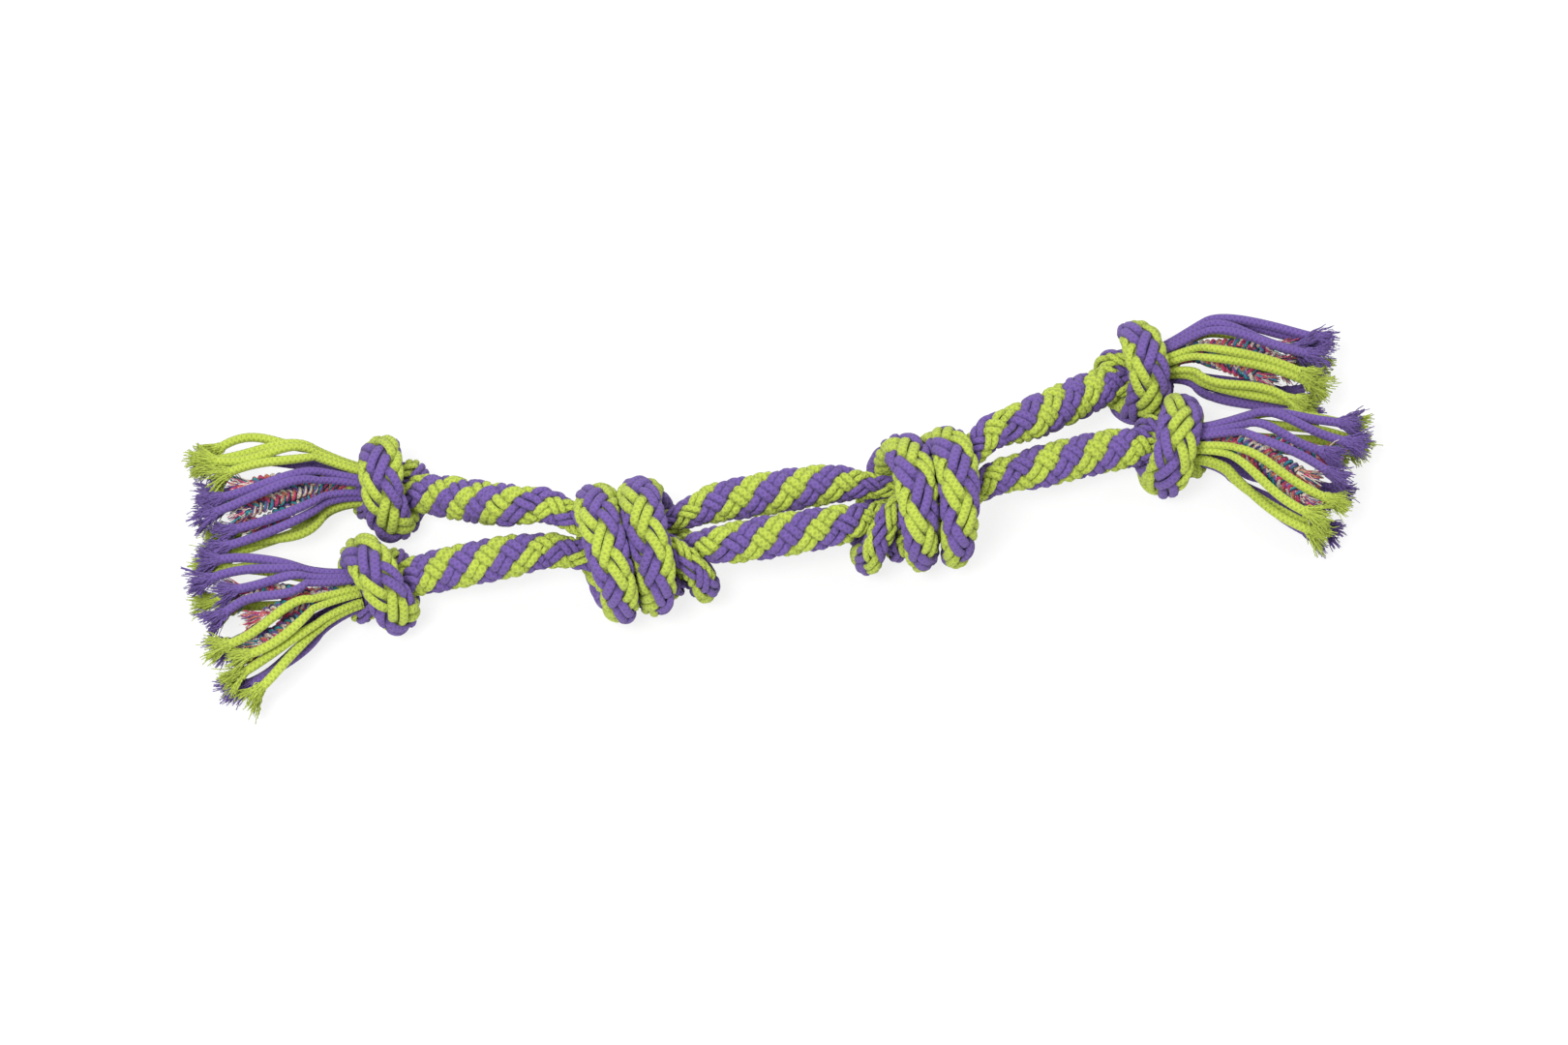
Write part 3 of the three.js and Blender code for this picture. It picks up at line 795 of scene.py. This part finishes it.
def fray(name, colour, lines, shades=0):
    """Frayed brushes at the tips of cords: thin square fibres in clumps, tapering to their ends.

    A fibre starts on the disc of its tip. With t from 0 to 1 it runs ahead by its length times t, outwards by
    its flare times a power of t, and off course by a random bow times t squared, a sine wave and a droop.
    """
    count = FIBRES[colour]
    rng = np.random.default_rng(sum(map(ord, name + colour)))
    tips = np.array([line[-1] for line in lines])
    ahead = unit(np.array([line[-1] - line[-4] for line in lines]))
    side = square(np.array([[0, 0, 1.0]]), ahead)
    other = np.cross(ahead, side)
    n = len(lines)
    clump = rng.integers(0, CLUMPS, (n, count))

    def of_clump(low, high):
        return np.take_along_axis(rng.uniform(low, high, (n, CLUMPS)), clump, 1)

    angle = 2 * np.pi * (clump + of_clump(0, CLUMP_TURN)) / CLUMPS + rng.normal(0, FIBRE_TURN, (n, count))
    long = TO_MM * sizes().fray * of_clump(*CLUMP_LENGTH) * rng.uniform(*FIBRE_LENGTH, (n, count))
    flare = of_clump(*CLUMP_FLARE) * rng.uniform(*FIBRE_FLARE, (n, count))
    share = np.sqrt(rng.uniform(0, 1, (n, count)))
    across = np.cos(angle)[..., None] * side[:, None] + np.sin(angle)[..., None] * other[:, None]
    t = np.linspace(0, 1, FIBRE_RINGS)[:, None]
    bow, curl = rng.normal(0, BOW, (n, count, 1, 3)), rng.normal(0, CURL, (n, count, 1, 3))
    wave = bow * t ** 2 + curl * np.sin(CURL_RATE * t)
    start = tips[:, None] - BRUSH_INSET * ahead[:, None] + across * (BRUSH_RADIUS * share)[..., None]
    run = long[..., None, None]
    path = start[:, :, None] + run * (ahead[:, None, None] * t + wave)
    path = path + run * flare[..., None, None] * t ** FLARE_POWER * across[:, :, None]
    path[..., 2] -= DROOP * (t[:, 0] ** 2) * long[..., None]
    path = path.reshape(n * count, len(t), 3)
    taper = FIBRE_RADIUS * (1 - TAPER * t[:, 0])
    grid = tube_grid(path, np.repeat(across.reshape(-1, 1, 3), len(t), 1), taper, taper, FIBRE_SIDES)
    tint = (rng.integers(0, shades, n * count) + 0.5) / shades if shades else None
    obj = tube_object(
        f"{name}_{colour}_fray", lifted(grid), finish_of(colour + "_brush"), tint)
    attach(obj, name + "_tassel")


class ROPETOY_OT_tassels(bpy.types.Operator):
    """Make the loose coloured cords of the four tassels, one object a cord"""
    bl_idname = "ropetoy.tassels"
    bl_label = "Tassel cords"

    def execute(self, context):
        radius = 0.5 * TO_MM * sizes().tassel_cord
        for name in ENDS:
            cords = sorted(tassel_cords(name), key=lambda cord: -length_of(cord[3]))
            for rank, (colour, number, strand, line) in enumerate(cords):
                s = np.linspace(0, 1, len(line))
                # A cord is squeezed in its knot, and swells to its full girth by a smooth step
                girth = mix(ROOT_GIRTH * radius, radius, smooth((s - GIRTH_FROM) / GIRTH_SPAN))
                up = np.broadcast_to(np.array(CORD_UP), line.shape)
                grid = tube_grid(line[None], up[None], girth[None], girth[None], CORD_SIDES)
                title = f"{name}_{colour}_cord_{number}"
                obj = tube_object(title, lifted(grid), finish_of(colour + "_cotton"))
                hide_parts(strand)
                bend_at_root(obj)
                if rank < DECLARED_CORDS:
                    TO_METRES * length_of(line)
                    TO_METRES * lifted(line)
        return {"FINISHED"}


class ROPETOY_OT_core_cords(bpy.types.Operator):
    """Make the plaited many-coloured cords in the middle of each tassel"""
    bl_idname = "ropetoy.core_cords"
    bl_label = "Plaited core cords"

    def execute(self, context):
        for name in ENDS:
            lines = core_lines(name)
            tangent = unit(np.gradient(lines, axis=1))
            up = square(np.broadcast_to(np.array(PLAIT_UP), lines.shape), tangent)
            flat = np.cross(tangent, up)
            step = np.linalg.norm(np.diff(lines, axis=1), axis=2)
            s = np.concatenate([np.zeros((len(lines), 1)), np.cumsum(step, 1)], 1)[:, None]
            # Each strand goes side to side as a sine, over and under at twice its rate, and its yarns twist
            strand, yarn = np.meshgrid(np.arange(PLAIT_STRANDS), np.arange(PLAIT_YARNS), indexing="ij")
            phase = 2 * np.pi * (s / PLAIT_WAVE + strand.reshape(-1, 1) / PLAIT_STRANDS)
            spin = 2 * np.pi * (s / YARN_TURN + yarn.reshape(-1, 1) / PLAIT_YARNS)
            width = TO_MM * sizes().plait
            sideways = PLAIT_SIDEWAYS * width * np.sin(phase) + YARN_OFFSET * width * np.cos(spin)
            height = PLAIT_HEIGHT * width * np.sin(2 * phase) + YARN_OFFSET * width * np.sin(spin)
            path = lines[:, None] + sideways[..., None] * flat[:, None] + height[..., None] * up[:, None]
            in_plait = PLAIT_STRANDS * PLAIT_YARNS
            number = np.arange(len(lines) * in_plait)
            path = path.reshape(len(number), lines.shape[1], 3)
            thick = YARN_RADIUS * width
            grid = tube_grid(path, np.repeat(up, in_plait, 0), thick, thick, YARN_SIDES)
            shade = YARN_SHADE_STEP * number + PLAIT_SHADE_STEP * (number // in_plait)
            tint = (shade % YARN_SHADES + 0.5) / YARN_SHADES
            obj = tube_object(
                name + "_core_plaits", lifted(grid), finish_of("mixed_cotton"), tint)
            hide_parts(name + "_core_cords")
            bend_at_root(obj)
        return {"FINISHED"}


class ROPETOY_OT_frays(bpy.types.Operator):
    """Make the frayed brushes at the cords' tips"""
    bl_idname = "ropetoy.frays"
    bl_label = "Frayed tips"

    def execute(self, context):
        for name in ENDS:
            cords = list(tassel_cords(name))
            for colour in ("purple", "lime"):
                fray(name, colour, [c[3] for c in cords if c[0] == colour])
            fray(name, "mixed", core_lines(name), YARN_SHADES)
        return {"FINISHED"}


class ROPETOY_OT_centre_knots(bpy.types.Operator):
    """Make the braided turns of the two centre knots"""
    bl_idname = "ropetoy.centre_knots"
    bl_label = "Centre knots"

    def execute(self, context):
        for part, label in ((LEFT_CENTRE, "left"), (RIGHT_CENTRE, "right")):
            for place in ("back", "front"):
                node_name = f"{label}_centre_knot_{place}_rope"
                for obj in braid_objects(f"{label}_centre_turns_{place}", place, part):
                    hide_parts(node_name)
                    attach(obj, label + "_centre")
        return {"FINISHED"}


class ROPETOY_OT_middle(bpy.types.Operator):
    """Make the two braided stretches between the centre knots"""
    bl_idname = "ropetoy.middle"
    bl_label = "Middle stretches"

    def execute(self, context):
        for place, solid in (("back", "middle_front_rope"), ("front", "middle_back_rope")):
            for obj in braid_objects(f"middle_braid_{place}", place, MIDDLE):
                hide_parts(solid + "_cover", solid + "_core")
                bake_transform(obj)
        return {"FINISHED"}


class ROPETOY_OT_arms(bpy.types.Operator):
    """Make the four braided arms"""
    bl_idname = "ropetoy.arms"
    bl_label = "Arms"

    def execute(self, context):
        for name in ENDS:
            label, place = name.split("_")
            rings = rope_of(place)
            part = LEFT_ARM if label == "left" else RIGHT_ARM
            ends = [rings["points"][i] for i in rings["cuts"][part:part + 2]]
            knot, mouth = ends if label == "left" else ends[::-1]
            for obj in braid_objects(f"{name}_arm_braid", place, part):
                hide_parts(name + "_arm_cover", name + "_arm_core")
                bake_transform(obj)
        return {"FINISHED"}


class ROPETOY_OT_end_knots(bpy.types.Operator):
    """Make the braided turns of the four end knots"""
    bl_idname = "ropetoy.end_knots"
    bl_label = "End knots"

    def execute(self, context):
        for name in ENDS:
            label, place = name.split("_")
            part = LEFT_END if label == "left" else RIGHT_END
            for obj in braid_objects(f"{name}_end_turns", place, part):
                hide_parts(name + "_end_knot")
                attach(obj, name + "_arm")
        return {"FINISHED"}


class ROPETOY_OT_stage(bpy.types.Operator):
    """Make the floor, the soft light and the camera at the photograph's angle"""
    bl_idname = "ropetoy.stage"
    bl_label = "Stage"

    def execute(self, context):
        scene = context.scene
        scene.view_settings.view_transform = "Standard"
        mesh = bpy.data.meshes.new("floor")
        corners = [(x * FLOOR_HALF, y * FLOOR_HALF, 0) for x, y in ((-1, -1), (1, -1), (1, 1), (-1, 1))]
        mesh.from_pydata(corners, [], [(0, 1, 2, 3)])
        material, tree = blank_material("pale_floor")
        # Most of the floor is clear to the camera, so that a part bent below it still shows
        matt = node(tree, "ShaderNodeBsdfDiffuse", Color=(*colours().floor, 1))
        clear = node(tree, "ShaderNodeBsdfTransparent", Color=(1, 1, 1, 1))
        share = maths(tree, "MULTIPLY", looking(tree), FLOOR_CLEAR)
        both = node(tree, "ShaderNodeMixShader", i0=share, i1=matt.outputs[0], i2=clear.outputs[0])
        node(tree, "ShaderNodeOutputMaterial", Surface=both.outputs[0])
        mesh.materials.append(material)
        floor = bpy.data.objects.new("floor", mesh)
        scene.collection.objects.link(floor)

        world = bpy.data.worlds.new("studio")
        scene.world = world
        world.use_nodes = True
        tree = world.node_tree
        tree.nodes.clear()
        strength = maths(tree, "ADD", maths(tree, "MULTIPLY", looking(tree), 1 - WORLD_LIGHT), WORLD_LIGHT)
        back = node(tree, "ShaderNodeBackground", Color=(1, 1, 1, 1), Strength=strength)
        node(tree, "ShaderNodeOutputWorld", Surface=back.outputs[0])

        for label, place, power, wide in LAMPS:
            lamp = bpy.data.lights.new(label, "AREA")
            lamp.energy, lamp.size = power, wide
            obj = bpy.data.objects.new(label, lamp)
            obj.location = place
            aim = -np.array(place) / np.linalg.norm(place)
            obj.rotation_euler = (math.acos(-aim[2]), 0, math.atan2(aim[1], aim[0]) - math.pi / 2)
            scene.collection.objects.link(obj)

        azimuth, elevation = math.radians(CAMERA_AZIMUTH), math.radians(CAMERA_ELEVATION)
        level = math.cos(elevation)
        toward = np.array([math.sin(azimuth) * level, -math.cos(azimuth) * level, math.sin(elevation)])
        lens = bpy.data.cameras.new("camera")
        lens.sensor_width, lens.lens = SENSOR, LENS
        camera = bpy.data.objects.new("camera", lens)
        camera.location = np.array(CAMERA_TARGET) + toward * PICTURE_WIDTH / SENSOR * LENS
        camera.rotation_euler = (math.pi / 2 - elevation, 0, azimuth)
        lens.clip_start, lens.clip_end = 0.05, 20
        scene.collection.objects.link(camera)
        scene.camera = camera
        return {"FINISHED"}


class ROPETOY_PT_panel(bpy.types.Panel):
    """Sidebar panel that lists the pieces and their sizes and colours"""
    bl_idname = "ROPETOY_PT_panel"
    bl_label = "Rope toy"
    bl_space_type = "VIEW_3D"
    bl_region_type = "UI"
    bl_category = "Rope toy"

    def draw(self, context):
        for group in (sizes(), colours()):
            for key in group.__annotations__:
                self.layout.prop(group, key)
        for operator in OPERATORS:
            self.layout.operator(operator.bl_idname)


OPERATORS = (
    ROPETOY_OT_stage, ROPETOY_OT_tassels, ROPETOY_OT_core_cords, ROPETOY_OT_frays, ROPETOY_OT_centre_knots,
    ROPETOY_OT_middle, ROPETOY_OT_arms, ROPETOY_OT_end_knots)
CLASSES = (RopeToySizes, RopeToyColours, *OPERATORS, ROPETOY_PT_panel)


def register():
    for cls in CLASSES:
        bpy.utils.register_class(cls)
    bpy.types.Scene.rope_toy_sizes = bpy.props.PointerProperty(type=RopeToySizes)
    bpy.types.Scene.rope_toy_colours = bpy.props.PointerProperty(type=RopeToyColours)


def unregister():
    del bpy.types.Scene.rope_toy_colours
    del bpy.types.Scene.rope_toy_sizes
    for cls in reversed(CLASSES):
        bpy.utils.unregister_class(cls)


def main():
    register()
    bpy.ops.ropetoy.stage()
    bpy.ops.ropetoy.tassels()
    bpy.ops.ropetoy.core_cords()
    bpy.ops.ropetoy.frays()
    bpy.ops.ropetoy.centre_knots()
    bpy.ops.ropetoy.middle()
    bpy.ops.ropetoy.arms()
    bpy.ops.ropetoy.end_knots()


if __name__ == "__main__":
    main()
